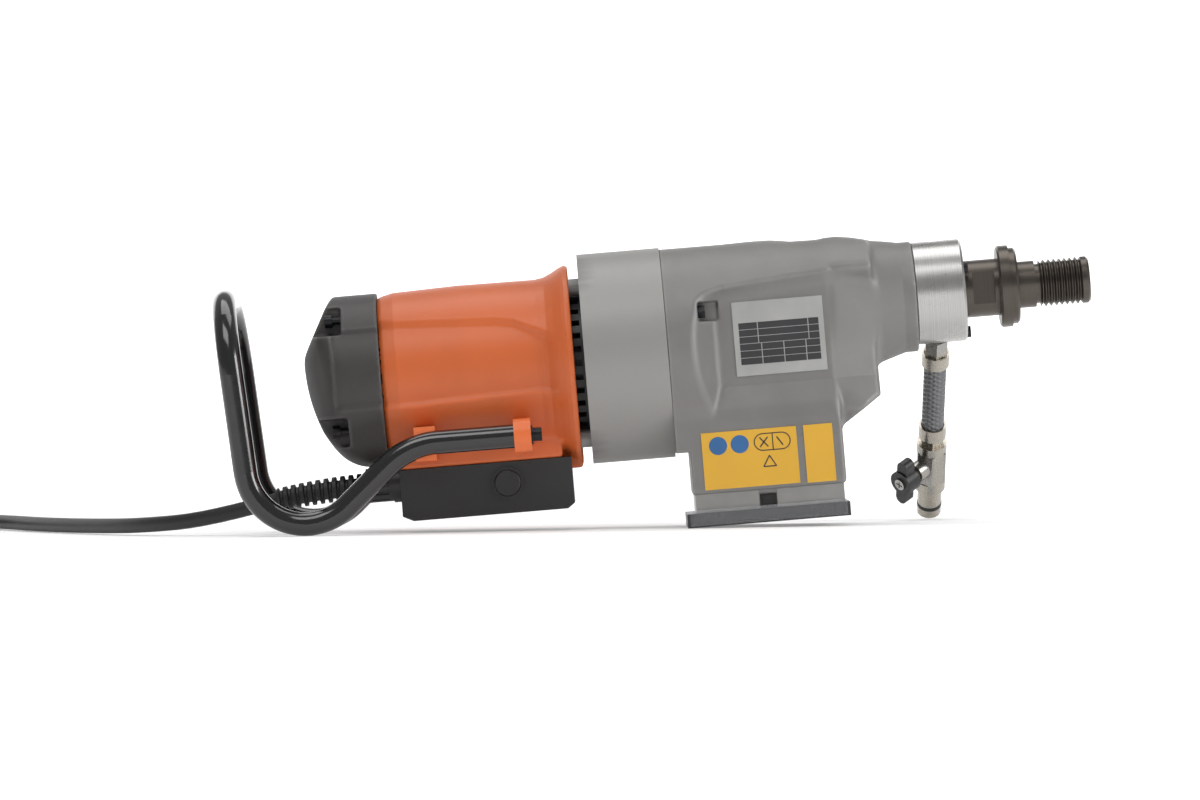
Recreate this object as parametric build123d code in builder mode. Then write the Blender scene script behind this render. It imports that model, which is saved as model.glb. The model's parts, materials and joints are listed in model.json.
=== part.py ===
from build123d import *
from math import acos, atan2, cos, degrees, hypot, pi, radians, sin, tan
import os

os.makedirs("parts", exist_ok=True)

# ---------------------------------------------------------------- driving dimensions (mm)
# Tool coordinates: a runs forward along the motor axis from the rear cover, y is across
# (+y is the far side, -y the side with the rating plate), h is height above the motor axis.
SPINDLE_RISE = 28.4
SPINDLE_R = 19.35
THREAD_R = 15.875
THREAD_PITCH = 25.4 / 7
THREAD_START, THREAD_END = 499.0, 533.0

COVER_BACK, COVER_FRONT, COVER_R = -2.5, 49.5, 58.8
HOUSING_FRONT, HOUSING_R, HOUSING_BORE_R = 180.0, 59.6, 55.2
PAD_HALF, PAD_BOTTOM = 36.0, -62.2
FLANGE_BACK, RING_BACK, CASE_BACK = 187.0, 204.0, 243.0
DRUM_R, DRUM_H = 71.3, 2.5
WAIST_BACK, WAIST_FRONT, WAIST_HALF = 265.0, 352.0, 50.0
BASE_HALF, BASE_BACK, BASE_FRONT, BASE_BOTTOM = 58.0, 252.5, 356.5, -95.0
NOSE_FRONT, NOSE_R, NOSE_H = 413.6, 37.4, 26.5
PLATE_BACK, PLATE_FRONT, PLATE_HALF = 247.0, 357.0, 50.0
PLATE_TOP, PLATE_BOTTOM = -107.5, -117.0
COLLAR_FRONT, COLLAR_R = 447.3, 34.75
WATER_A = 430.5

TUBE_R, TUBE_BORE_R, HANDLE_HALF = 8.0, 6.5, 70.0
LOW_CORNER = (-40.7, -134.7)
TOP_CORNER = (-52.4, 61.4)
FRONT_CORNER = (65.0, -45.0)
HANDLE_END = (146.0, -45.2)
LOW_BEND_R, FRONT_BEND_R, TOP_BEND_R = 40.0, 55.0, 50.0

BOX_BACK, BOX_FRONT, BOX_HALF = 56.0, 172.5, 36.0
BOX_TOP, BOX_BOTTOM, BOX_WALL = -62.3, -97.0, 2.5
GLAND_Y, GLAND_H = -20.0, -71.0
CORD_R = 5.2

RUN = 0.05  # radial clearance of a running fit
LAYSHAFT_Y, LAYSHAFT_H = 26.93, -1.99
FIRST_MODULE, SECOND_MODULE = 1.0, 1.5
PINION_TEETH, FIRST_WHEEL_TEETH = 9, 45

COLLAR_SCREW_R = 28.8
COLLAR_SCREWS = [
    (COLLAR_SCREW_R * cos(radians(turn)), SPINDLE_RISE + COLLAR_SCREW_R * sin(radians(turn)))
    for turn in (30, 150, 270)
]
BASE_SCREWS = [(266, -30), (266, 30), (342, -30), (342, 30)]
STAND_HOLES = [(256, -38), (256, 38), (350, -39), (350, 39)]
STAND_HOLE_R = 3.4
NIPPLE_R = 8.25

# ---------------------------------------------------------------- rest pose
# The drill lies on the two low bends of its handle and on the rear edge of its plate.
span = hypot(LOW_CORNER[0] - FRONT_CORNER[0], LOW_CORNER[1] - FRONT_CORNER[1])
to_front = Vector(FRONT_CORNER[0] - LOW_CORNER[0], FRONT_CORNER[1] - LOW_CORNER[1]).normalized()
to_top = Vector(TOP_CORNER[0] - LOW_CORNER[0], TOP_CORNER[1] - LOW_CORNER[1]).normalized()
half_bend = radians(to_front.get_angle(to_top)) / 2
bend_centre = Vector(*LOW_CORNER) + (to_front + to_top).normalized() * (LOW_BEND_R / sin(half_bend))
reach = PLATE_BACK - bend_centre.X
rise = bend_centre.Y - PLATE_BOTTOM
REST_ANGLE = acos((LOW_BEND_R + TUBE_R) / hypot(rise, reach)) - atan2(reach, rise)
FORWARD = Vector(cos(REST_ANGLE), 0, sin(REST_ANGLE))
UPWARD = Vector(-sin(REST_ANGLE), 0, cos(REST_ANGLE))
ORIGIN = Vector(
    -233.33, -27.12, -PLATE_BOTTOM * cos(REST_ANGLE) - PLATE_BACK * sin(REST_ANGLE)
)
print("rest angle", degrees(REST_ANGLE), "height of the motor axis", ORIGIN.Z)


def spot(a, y, h):
    """A point of the tool in the part's frame."""
    return ORIGIN + FORWARD * a + Vector(0, y, 0) + UPWARD * h


def across(a, y=0.0, h=0.0):
    """A section plane: its x is the tool's y, its y is up, and it extrudes forward."""
    return Plane(spot(a, y, h), x_dir=(0, 1, 0), z_dir=FORWARD)


def side(y=0.0, a=0.0, h=0.0):
    """A side plane: its x is forward, its y is up, and it extrudes to the near side."""
    return Plane(spot(a, y, h), x_dir=FORWARD, z_dir=(0, -1, 0))


def level(h, a=0.0, y=0.0):
    """A plan plane: its x is forward, its y is across, and it extrudes up."""
    return Plane(spot(a, y, h), x_dir=FORWARD, z_dir=UPWARD)


def lengthwise(y=0.0, h=0.0):
    """An axis of rotation along the tool."""
    return Axis(spot(0, y, h), FORWARD)


def disc(a0, a1, r, bore=0.0, y=0.0, h=0.0, mode=Mode.ADD):
    """A disc, or a ring, from a0 to a1 along the tool."""
    with BuildSketch(across(a0, y, h)) as face:
        Circle(r)
        if bore:
            Circle(bore, mode=Mode.SUBTRACT)
    extrude(face.sketch, amount=a1 - a0, mode=mode)


def block(a0, a1, y0, y1, h0, h1, mode=Mode.ADD):
    """A block between two values on each axis of the tool."""
    with BuildSketch(level(h0, (a0 + a1) / 2, (y0 + y1) / 2)) as face:
        Rectangle(a1 - a0, y1 - y0)
    extrude(face.sketch, amount=h1 - h0, mode=mode)


def turned(points, y=0.0, h=0.0, mode=Mode.ADD):
    """A turned piece: points are (a, radius), and the outline closes on the axis."""
    with BuildSketch(side(y, 0, h)) as face:
        with BuildLine():
            Polyline((points[0][0], 0), *points, (points[-1][0], 0), close=True)
        make_face()
    revolve(face.sketch, axis=lengthwise(y, h), mode=mode)


def rod(start, direction, s0, s1, r, bore=0.0, sides=0, mode=Mode.ADD):
    """A round or polygonal rod along any direction, from s0 to s1 past its start."""
    with BuildSketch(Plane(start + direction * s0, z_dir=direction)) as face:
        if sides:
            RegularPolygon(r, sides)
        else:
            Circle(r)
        if bore:
            Circle(bore, mode=Mode.SUBTRACT)
    extrude(face.sketch, amount=s1 - s0, mode=mode)


def toothed(a0, a1, teeth, module, y, h, aim, tooth_at_aim=True):
    """A spur gear whose thin straight-sided teeth run free of the mating ones."""
    pitch_angle = 2 * pi / teeth
    first = aim + (0 if tooth_at_aim else pitch_angle / 2)
    pitch_r = module * teeth / 2
    corners = []
    for tooth in range(teeth):
        middle = first + tooth * pitch_angle
        for radius, share in (
            (pitch_r - 1.15 * module, -0.25),
            (pitch_r + 0.8 * module, -0.11),
            (pitch_r + 0.8 * module, 0.11),
            (pitch_r - 1.15 * module, 0.25),
        ):
            angle = middle + share * pitch_angle
            corners.append((radius * cos(angle), radius * sin(angle)))
    with BuildSketch(across(a0, y, h)) as face:
        with BuildLine():
            Polyline(*corners, close=True)
        make_face()
    extrude(face.sketch, amount=a1 - a0)


finished = []


def finish(piece, name):
    """Labels a finished piece and writes it."""
    piece.part.label = name
    export_step(piece.part, f"parts/{name}.step")
    finished.append(name)


# ---------------------------------------------------------------- rear cover
COVER_SCREWS = [(30, 42), (-30, 42), (40, -33), (-40, -33)]
with BuildPart() as rear_cover:
    turned([(COVER_BACK, 31), (4, 50), (14, 57.6), (COVER_FRONT, COVER_R)])
    turned([(1, 28), (6, 45), (16, 54), (COVER_FRONT, HOUSING_BORE_R)], mode=Mode.SUBTRACT)
    disc(0.8, 22, 17)
    disc(COVER_BACK, 3, 4.0, mode=Mode.SUBTRACT)
    disc(12, 22, 13, mode=Mode.SUBTRACT)
    disc(3, 12, 8, mode=Mode.SUBTRACT)
    for y, h in COVER_SCREWS:
        disc(6, COVER_FRONT, 6.8, 0, y, h)
        disc(COVER_BACK, 19, 9.5, 0, y, h, Mode.SUBTRACT)
        disc(19, COVER_FRONT, 2.6, 0, y, h, Mode.SUBTRACT)
    for h in (-22, -15, 15, 22):
        block(COVER_BACK - 1, 8, -14, 14, h - 1.6, h + 1.6, Mode.SUBTRACT)
    with BuildSketch(side(70)) as facet:
        with BuildLine():
            Polyline((-12, 0), (-2.2, 19.3), (18, 57.2), (18, 70), (-12, 70), close=True)
        make_face()
    extrude(facet.sketch, amount=140, mode=Mode.SUBTRACT)
finish(rear_cover, "rear_cover")

with BuildPart() as cover_screws:
    for y, h in COVER_SCREWS:
        disc(14, 19, 4.6, 0, y, h)
        disc(19, 62, 2.5, 0, y, h)
        disc(14, 16.6, 2.2, 0, y, h, Mode.SUBTRACT)
finish(cover_screws, "cover_screws")

# ---------------------------------------------------------------- motor housing
LUGS = [(33.5, 51), (-33.5, 51), (33.5, -51), (-33.5, -51)]
with BuildPart() as motor_housing:
    turned([(COVER_FRONT, 57.4), (60, 58.6), (72, HOUSING_R), (160, HOUSING_R),
            (176, 67.2), (HOUSING_FRONT, 67.2)])
    block(BOX_BACK, HOUSING_FRONT, -PAD_HALF, PAD_HALF, PAD_BOTTOM, -40)
    block(166, HOUSING_FRONT, -20, 20, -70.4, -50)
    disc(COVER_FRONT, HOUSING_FRONT, HOUSING_BORE_R, mode=Mode.SUBTRACT)
    for y, h in COVER_SCREWS:
        disc(COVER_FRONT, 64, 6.5, 0, y, h)
    disc(COVER_FRONT - 1, HOUSING_FRONT, 49, mode=Mode.SUBTRACT)
    disc(68, HOUSING_FRONT, HOUSING_BORE_R, mode=Mode.SUBTRACT)
    for y, h in COVER_SCREWS:
        disc(COVER_FRONT, 64, 2.6, 0, y, h, Mode.SUBTRACT)
    block(90, 110, -12, 12, PAD_BOTTOM - 1, -50, Mode.SUBTRACT)
finish(motor_housing, "motor_housing")

with BuildPart() as vent_grille:
    disc(HOUSING_FRONT, FLANGE_BACK, 54, 46)
    with BuildSketch(across(HOUSING_FRONT)) as windows:
        with PolarLocations(50, 36):
            Rectangle(12, 4.2)
    extrude(windows.sketch, amount=5.4, mode=Mode.SUBTRACT)
finish(vent_grille, "vent_grille")

# ---------------------------------------------------------------- gearbox castings
with BuildPart() as gearbox_flange:
    disc(FLANGE_BACK, RING_BACK, DRUM_R, 0, 0, DRUM_H)
    for y, h in LUGS:
        disc(HOUSING_FRONT, FLANGE_BACK, 6.0, 0, y, h)
    disc(190, 202, 13, mode=Mode.SUBTRACT)
    disc(FLANGE_BACK, RING_BACK, 8.5, mode=Mode.SUBTRACT)
    disc(195, RING_BACK, 11, 0, LAYSHAFT_Y, LAYSHAFT_H, Mode.SUBTRACT)
    with BuildSketch(across(FLANGE_BACK)) as pockets:
        with PolarLocations(44, 12, start_angle=15):
            Rectangle(14, 9)
    extrude(pockets.sketch, amount=5, mode=Mode.SUBTRACT)
finish(gearbox_flange, "gearbox_flange")

SELECTOR_A, SELECTOR_H = 285.0, 12.0
CASE_BOLT_Y, CASE_BOLT_H, CASE_BOLT_R = 55.5, 27.5, 3.0
FORK_ROD_Y, FORK_ROD_H, FORK_ROD_R = 41.0, 14.0, 2.3
with BuildPart() as gearbox_ring:
    disc(RING_BACK, CASE_BACK, DRUM_R, 54, 0, DRUM_H)
    disc(230, 238, 56, 0, 0, DRUM_H)
    disc(230, 238, 14, 0, 0, SPINDLE_RISE, Mode.SUBTRACT)
    disc(230, 238, 9, 0, LAYSHAFT_Y, LAYSHAFT_H, Mode.SUBTRACT)
    for y in (-CASE_BOLT_Y, CASE_BOLT_Y):
        disc(222, CASE_BACK, CASE_BOLT_R + RUN, 0, y, CASE_BOLT_H, Mode.SUBTRACT)
finish(gearbox_ring, "gearbox_ring")

with BuildPart() as gearcase:
    with BuildSketch(across(CASE_BACK)) as section:
        with Locations((0, DRUM_H)):
            Circle(DRUM_R)
        with Locations((0, (BASE_BOTTOM - 20) / 2)):
            Rectangle(2 * BASE_HALF, -BASE_BOTTOM - 20)
    extrude(section.sketch, amount=142)
    with BuildSketch(side(80)) as silhouette:
        with BuildLine():
            Polyline((CASE_BACK, 80), (CASE_BACK, -72), (250, -72), (BASE_BACK, BASE_BOTTOM),
                     (BASE_FRONT, BASE_BOTTOM), (361, -56), (381, -40), (385, -38), (385, 66.6),
                     (373.5, 69.4), (363, 70.9), (333, 70.6), (316, 74), close=True)
        make_face()
    extrude(silhouette.sketch, amount=160, mode=Mode.INTERSECT)
    with BuildSketch(level(-100)) as outline:
        with BuildLine():
            Polyline((CASE_BACK, -73), (258, -73), (372, -60), (385, -52),
                     (385, 52), (372, 60), (258, 73), (CASE_BACK, 73), close=True)
        make_face()
    extrude(outline.sketch, amount=180, mode=Mode.INTERSECT)
    with BuildSketch(across(366, 0, 16)) as root:
        Circle(54)
    with BuildSketch(across(405, 0, NOSE_H)) as tip:
        Circle(NOSE_R)
    loft(sections=[root.sketch, tip.sketch])
    disc(405, NOSE_FRONT, NOSE_R, 0, 0, NOSE_H)
    for near in (-1, 1):
        inner, outer = sorted((near * WAIST_HALF, near * 80))
        block(WAIST_BACK, WAIST_FRONT, inner, outer, -24, 39, Mode.SUBTRACT)
        block(WAIST_BACK, WAIST_BACK + 14, *sorted((near * 48.5, near * 80)), 21, 34, Mode.SUBTRACT)
        disc(CASE_BACK, WAIST_BACK, CASE_BOLT_R + RUN, 0, near * CASE_BOLT_Y, CASE_BOLT_H,
             Mode.SUBTRACT)
    # inside: gear space, bearing web, forward space, front bearing seat
    disc(CASE_BACK, 259, 53.5, 0, 5, 0, Mode.SUBTRACT)
    with BuildSketch(across(259)) as gear_space:
        with Locations((0, SPINDLE_RISE)):
            Circle(36.5)
        with Locations((LAYSHAFT_Y, LAYSHAFT_H)):
            Circle(18)
        with Locations((0, 5)):
            Circle(43)
        with Locations((FORK_ROD_Y, FORK_ROD_H)):
            Circle(4.5)
    extrude(gear_space.sketch, amount=44, mode=Mode.SUBTRACT)
    disc(303, 313, 19, 0, 0, SPINDLE_RISE, Mode.SUBTRACT)
    disc(303, 311, 11, 0, LAYSHAFT_Y, LAYSHAFT_H, Mode.SUBTRACT)
    disc(303, 312.8, FORK_ROD_R + RUN, 0, FORK_ROD_Y, FORK_ROD_H, Mode.SUBTRACT)
    disc(313, 378, 40, 0, 0, 20, Mode.SUBTRACT)
    disc(378, 386, 21, 0, 0, SPINDLE_RISE, Mode.SUBTRACT)
    disc(386, NOSE_FRONT, 26, 0, 0, SPINDLE_RISE, Mode.SUBTRACT)
    block(285, 325, -50, 50, BASE_BOTTOM, -45, Mode.SUBTRACT)
    with BuildSketch(side(40, SELECTOR_A, SELECTOR_H)) as knob_hole:
        Circle(4 + RUN)
    extrude(knob_hole.sketch, amount=-14, mode=Mode.SUBTRACT)
    for a, y in BASE_SCREWS:
        rod(spot(a, y, BASE_BOTTOM), UPWARD, 0, 12, 4.05, mode=Mode.SUBTRACT)
    for y, h in COLLAR_SCREWS:
        disc(400, NOSE_FRONT, 2.5 + RUN, 0, y, h, Mode.SUBTRACT)
finish(gearcase, "gearcase")

with BuildPart() as case_bolts:
    for y in (-CASE_BOLT_Y, CASE_BOLT_Y):
        disc(224, WAIST_BACK, CASE_BOLT_R, 0, y, CASE_BOLT_H)
        with BuildSketch(across(WAIST_BACK, y, CASE_BOLT_H)) as head:
            RegularPolygon(4.9, 6)
        extrude(head.sketch, amount=5)
    for a, y in BASE_SCREWS:
        rod(spot(a, y, PLATE_BOTTOM), UPWARD, 0.5, 5.5, 6.9)
        rod(spot(a, y, PLATE_BOTTOM), UPWARD, 5.5, 33, 3.95)
        rod(spot(a, y, PLATE_BOTTOM), UPWARD, 0.5, 3.5, 3.4, sides=6, mode=Mode.SUBTRACT)
finish(case_bolts, "case_bolts")

# ---------------------------------------------------------------- foot, plate and guard
with BuildPart() as foot_strip:
    block(253.5, 354, -45, 45, PLATE_TOP, BASE_BOTTOM)
    block(296.5, 308.5, -45, -41.5, PLATE_TOP, BASE_BOTTOM, Mode.SUBTRACT)
    for a, y in BASE_SCREWS:
        rod(spot(a, y, PLATE_TOP), UPWARD, 0, 12.5, 4.05, mode=Mode.SUBTRACT)
finish(foot_strip, "foot_strip")

with BuildPart() as mounting_plate:
    block(PLATE_BACK, PLATE_FRONT, -PLATE_HALF, PLATE_HALF, PLATE_BOTTOM, PLATE_TOP)
    for a, y in BASE_SCREWS:
        rod(spot(a, y, PLATE_BOTTOM), UPWARD, 0, 9.5, 4.05, mode=Mode.SUBTRACT)
        rod(spot(a, y, PLATE_BOTTOM), UPWARD, 0, 5.5, 7.1, mode=Mode.SUBTRACT)
    for a, y in STAND_HOLES:
        rod(spot(a, y, PLATE_BOTTOM), UPWARD, 0, 9.5, STAND_HOLE_R, mode=Mode.SUBTRACT)
finish(mounting_plate, "mounting_plate")

with BuildPart() as plate_guard:
    block(249, 355, -PLATE_HALF - 1.5, -PLATE_HALF, -116, -105.5)
    block(249, 355, -PLATE_HALF, -46, -107.4, -105.5)
finish(plate_guard, "plate_guard")

with BuildPart() as guard_clip:
    block(297, 308, -45.8, -41.6, PLATE_TOP + 0.3, -98)
    block(299, 306, -47.5, -45.8, -104.5, -99)
finish(guard_clip, "guard_clip")

# ---------------------------------------------------------------- labels
with BuildPart() as rating_plate:
    block(288.2, 349.3, -WAIST_HALF - 0.6, -WAIST_HALF, -18, 32)
finish(rating_plate, "rating_plate")

with BuildPart() as safety_labels:
    block(260.5, 324.5, -BASE_HALF - 0.4, -BASE_HALF, -92.3, -54)
    block(329.3, 348.8, -BASE_HALF - 0.4, -BASE_HALF, -92.8, -54)
finish(safety_labels, "safety_labels")

# ---------------------------------------------------------------- water collar and seals
PORT_WAY = Vector(FORWARD * -0.063 + Vector(0, 0.650, 0) + UPWARD * -0.757).normalized()
PORT_START = spot(WATER_A, 0, SPINDLE_RISE)
with BuildPart() as water_collar:
    turned([(NOSE_FRONT, COLLAR_R - 0.8), (NOSE_FRONT + 0.8, COLLAR_R),
            (COLLAR_FRONT - 1.5, COLLAR_R), (COLLAR_FRONT, COLLAR_R - 1.5)], 0, SPINDLE_RISE)
    disc(NOSE_FRONT, COLLAR_FRONT, SPINDLE_R + RUN, 0, 0, SPINDLE_RISE, Mode.SUBTRACT)
    disc(416, 445, 24, 0, 0, SPINDLE_RISE, Mode.SUBTRACT)
    rod(PORT_START, PORT_WAY, 20, 42, 6.0, mode=Mode.SUBTRACT)
    rod(spot(WATER_A, 0, SPINDLE_RISE), UPWARD, 22, 40, 4.0, mode=Mode.SUBTRACT)
    rod(spot(WATER_A, 0, SPINDLE_RISE), UPWARD, COLLAR_R - 3, 40, 5.2, mode=Mode.SUBTRACT)
    for y, h in COLLAR_SCREWS:
        disc(NOSE_FRONT, COLLAR_FRONT, 2.5 + RUN, 0, y, h, Mode.SUBTRACT)
finish(water_collar, "water_collar")

with BuildPart() as collar_screws:
    for y, h in COLLAR_SCREWS:
        disc(402, COLLAR_FRONT, 2.5, 0, y, h)
        disc(COLLAR_FRONT, COLLAR_FRONT + 2.8, 3.9, 0, y, h)
        with BuildSketch(across(COLLAR_FRONT + 0.8, y, h)) as socket:
            RegularPolygon(2.3, 6)
        extrude(socket.sketch, amount=3, mode=Mode.SUBTRACT)
    rod(spot(WATER_A, 0, SPINDLE_RISE), UPWARD, 25, COLLAR_R - 3, 3.95)
    rod(spot(WATER_A, 0, SPINDLE_RISE), UPWARD, 28, COLLAR_R - 3, 2.2, sides=6, mode=Mode.SUBTRACT)
finish(collar_screws, "collar_screws")

with BuildPart() as shaft_seals:
    for a0, a1, outer in ((404, 411, 26), (416, 424, 24), (437, 445, 24)):
        disc(a0, a1, outer, SPINDLE_R + RUN, 0, SPINDLE_RISE)
finish(shaft_seals, "shaft_seals")

# ---------------------------------------------------------------- spindle
flute = []
pitches = int((THREAD_END - THREAD_START - 1.5) / THREAD_PITCH)
for turn in range(pitches):
    crest = THREAD_START + turn * THREAD_PITCH
    flute += [(crest + 0.3, THREAD_R), (crest + 1.6, THREAD_R - 1.9),
              (crest + 2.1, THREAD_R - 1.9), (crest + 3.4, THREAD_R)]
with BuildPart() as spindle:
    turned([(229, 7), (239, 7), (239, 11), (314, 11), (314, 15), (386, 15), (386, 17),
            (402, 17), (402, SPINDLE_R), (471, SPINDLE_R), (471, 26.4), (472.4, 27.75),
            (479, 27.75), (479, 25.8), (482.6, 25.8), (484, 24.4), (484, 15.8),
            (496, 15.8), (496, 13.4), (THREAD_START, 13.4), *flute,
            (THREAD_END - 1.6, THREAD_R), (THREAD_END, THREAD_R - 1.6)], 0, SPINDLE_RISE)
    disc(424, THREAD_END, 9, 0, 0, SPINDLE_RISE, Mode.SUBTRACT)
    rod(spot(WATER_A, 0, SPINDLE_RISE), UPWARD, -30, 30, 3, mode=Mode.SUBTRACT)
    for near in (-1, 1):
        block(453, 468, *sorted((near * 16, near * 30)), -4, 60, Mode.SUBTRACT)
finish(spindle, "spindle")

PAIRS = ((246, 10, 24, 30), (270, 10, 18, 36), (286, 12, 12, 42))
LAY_TO_SPINDLE = atan2(SPINDLE_RISE - LAYSHAFT_H, -LAYSHAFT_Y)
with BuildPart() as countershaft:
    turned([(195.5, 5), (204, 5), (204, 7), (302.6, 7), (302.6, 5), (310.5, 5)],
           LAYSHAFT_Y, LAYSHAFT_H)
    for a, width, teeth, mate in PAIRS:
        toothed(a, a + width, teeth, SECOND_MODULE, LAYSHAFT_Y, LAYSHAFT_H, LAY_TO_SPINDLE)
finish(countershaft, "countershaft")

for (a, width, teeth, mate), name, bore in zip(
    PAIRS, ("high_wheel", "middle_wheel", "low_wheel"), (11 + RUN, 11 + RUN, 11)
):
    with BuildPart() as wheel:
        toothed(a, a + width, mate, SECOND_MODULE, 0, SPINDLE_RISE, LAY_TO_SPINDLE + pi, False)
        disc(a, a + width, bore, 0, 0, SPINDLE_RISE, Mode.SUBTRACT)
    finish(wheel, name)

LAY_TO_MOTOR = atan2(-LAYSHAFT_H, -LAYSHAFT_Y)
with BuildPart() as countershaft_wheel:
    toothed(212, 224, FIRST_WHEEL_TEETH, FIRST_MODULE, LAYSHAFT_Y, LAYSHAFT_H, LAY_TO_MOTOR, False)
    disc(212, 224, 7, 0, LAYSHAFT_Y, LAYSHAFT_H, Mode.SUBTRACT)
finish(countershaft_wheel, "countershaft_wheel")

with BuildPart() as bearings:
    for a0, a1, outer, journal, y, h in (
        (12.2, 21.8, 13, 5, 0, 0), (190.2, 201.8, 13, 6, 0, 0),
        (196, 203.5, 11, 5, LAYSHAFT_Y, LAYSHAFT_H), (303.2, 310.5, 11, 5, LAYSHAFT_Y, LAYSHAFT_H),
        (230, 238, 14, 7, 0, SPINDLE_RISE), (303, 313, 19, 11, 0, SPINDLE_RISE),
        (386.4, 401.6, 26, 17, 0, SPINDLE_RISE),
    ):
        disc(a0, a1, outer, journal + RUN, y, h)
finish(bearings, "bearings")

# ---------------------------------------------------------------- gear change
with BuildPart() as dog_ring:
    turned([(260, 15.5), (262, 15.5), (262, 12.8), (264, 12.8), (264, 15.5), (266, 15.5)],
           0, SPINDLE_RISE)
    disc(259, 267, 11 + 2 * RUN, 0, 0, SPINDLE_RISE, Mode.SUBTRACT)
finish(dog_ring, "dog_ring")

with BuildPart() as shift_fork:
    with BuildSketch(across(262.4)) as fork:
        with Locations((0, SPINDLE_RISE)):
            Circle(20)
            Circle(13.2, mode=Mode.SUBTRACT)
        with Locations((-20, SPINDLE_RISE)):
            Rectangle(40, 60, mode=Mode.SUBTRACT)
        with BuildLine():
            Polyline((16.5, 20), (18.5, 32), (40.5, 17), (39, 11), close=True)
        make_face()
    extrude(fork.sketch, amount=1.2)
    disc(260.5, 309, FORK_ROD_R, 0, FORK_ROD_Y, FORK_ROD_H)
finish(shift_fork, "shift_fork")

with BuildPart() as gear_selector:
    with BuildSketch(side(44.4, SELECTOR_A, SELECTOR_H)) as stem:
        Circle(4)
    extrude(stem.sketch, amount=-8)
    with BuildSketch(side(WAIST_HALF + 0.4, SELECTOR_A, SELECTOR_H)) as knob:
        Circle(15)
    extrude(knob.sketch, amount=-5)
    with BuildSketch(side(WAIST_HALF + 5.4, SELECTOR_A, SELECTOR_H)) as grip:
        SlotOverall(28, 9, rotation=90)
    extrude(grip.sketch, amount=-9)
finish(gear_selector, "gear_selector")

# ---------------------------------------------------------------- motor
MOTOR_TO_LAY = atan2(LAYSHAFT_H, LAYSHAFT_Y)
with BuildPart() as rotor_shaft:
    turned([(8, 5), (23, 5), (23, 8), (189, 8), (189, 6), (204, 6), (204, 3.3), (208, 3.3)])
    toothed(208, 226, PINION_TEETH, FIRST_MODULE, 0, 0, MOTOR_TO_LAY)
finish(rotor_shaft, "rotor_shaft")

with BuildPart() as rotor_core:
    disc(72, 128, 28, 8)
    with BuildSketch(across(72)) as slots:
        with PolarLocations(26, 12):
            Rectangle(6, 3)
    extrude(slots.sketch, amount=56, mode=Mode.SUBTRACT)
finish(rotor_core, "rotor_core")

with BuildPart() as commutator:
    disc(40, 62, 16, 8)
    with BuildSketch(across(44)) as gaps:
        with PolarLocations(16, 24):
            Rectangle(1.4, 0.6)
    extrude(gaps.sketch, amount=18, mode=Mode.SUBTRACT)
finish(commutator, "commutator")

with BuildPart() as cooling_fan:
    disc(146, 164, 13, 8)
    disc(146, 148.5, 46, 8)
    with BuildSketch(across(148.5)) as blades:
        with PolarLocations(30, 9):
            Rectangle(30, 2, rotation=18)
    extrude(blades.sketch, amount=13)
finish(cooling_fan, "cooling_fan")

with BuildPart() as stator:
    disc(70, 130, 55, 44)
    disc(66, 134, 43.5, 32)
    with BuildSketch(across(70)) as poles:
        Circle(45)
        Circle(29.5, mode=Mode.SUBTRACT)
        for y in (-45, 45):
            with Locations((y, 0)):
                Rectangle(50, 90, mode=Mode.SUBTRACT)
    extrude(poles.sketch, amount=60)
finish(stator, "stator")

with BuildPart() as brush_holders:
    for near in (-1, 1):
        block(43, 59, *sorted((near * 19, near * 48)), -7, 7)
        block(46, 56, *sorted((near * 16.3, near * 20)), -4, 4)
finish(brush_holders, "brush_holders")

# ---------------------------------------------------------------- electronics box
BUTTON_A, BUTTON_H = 128.4, -76.5
ROCKER_A, ROCKER_H, ROCKER_PIVOT_Y = 92.0, -79.0, 35.5
LENS_A = 118.0
with BuildPart() as electronics_box:
    with BuildSketch(side(-BOX_HALF)) as outline:
        with BuildLine():
            Polyline((BOX_BACK, BOX_TOP), (BOX_BACK, -93.5), (63.2, BOX_BOTTOM),
                     (167.7, BOX_BOTTOM), (BOX_FRONT, -93.4), (BOX_FRONT, BOX_TOP), close=True)
        make_face()
    extrude(outline.sketch, amount=-2 * BOX_HALF)
    inner = BOX_HALF - BOX_WALL
    block(BOX_BACK + BOX_WALL, BOX_FRONT - BOX_WALL, -inner, inner, -93, BOX_TOP, Mode.SUBTRACT)
    with BuildSketch(side(-BOX_HALF, BUTTON_A, BUTTON_H)) as button_hole:
        Circle(9.2)
    extrude(button_hole.sketch, amount=-4, mode=Mode.SUBTRACT)
    block(ROCKER_A - 11.2, ROCKER_A + 11.2, 30, 40, ROCKER_H - 6.2, ROCKER_H + 6.2, Mode.SUBTRACT)
    with BuildSketch(side(BOX_HALF, LENS_A, ROCKER_H)) as lens_hole:
        Circle(3)
    extrude(lens_hole.sketch, amount=4, mode=Mode.SUBTRACT)
    disc(BOX_BACK, BOX_BACK + 4, 7.5, 0, GLAND_Y, GLAND_H, Mode.SUBTRACT)
    block(165.9, BOX_FRONT + 1, -20.1, 20.1, -70.5, BOX_TOP + 1, Mode.SUBTRACT)
    block(ROCKER_A - 13, ROCKER_A + 13, BOX_HALF, BOX_HALF + 1.4, ROCKER_H - 8, ROCKER_H + 8)
    block(ROCKER_A - 11, ROCKER_A + 11, 33, 40, ROCKER_H - 6.1, ROCKER_H + 6.1, Mode.SUBTRACT)
finish(electronics_box, "electronics_box")

with BuildPart() as button_bezel:
    with BuildSketch(side(-BOX_HALF, BUTTON_A, BUTTON_H)) as bezel:
        Circle(10.7)
        Circle(9.1, mode=Mode.SUBTRACT)
    extrude(bezel.sketch, amount=2.4)
finish(button_bezel, "button_bezel")

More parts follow.
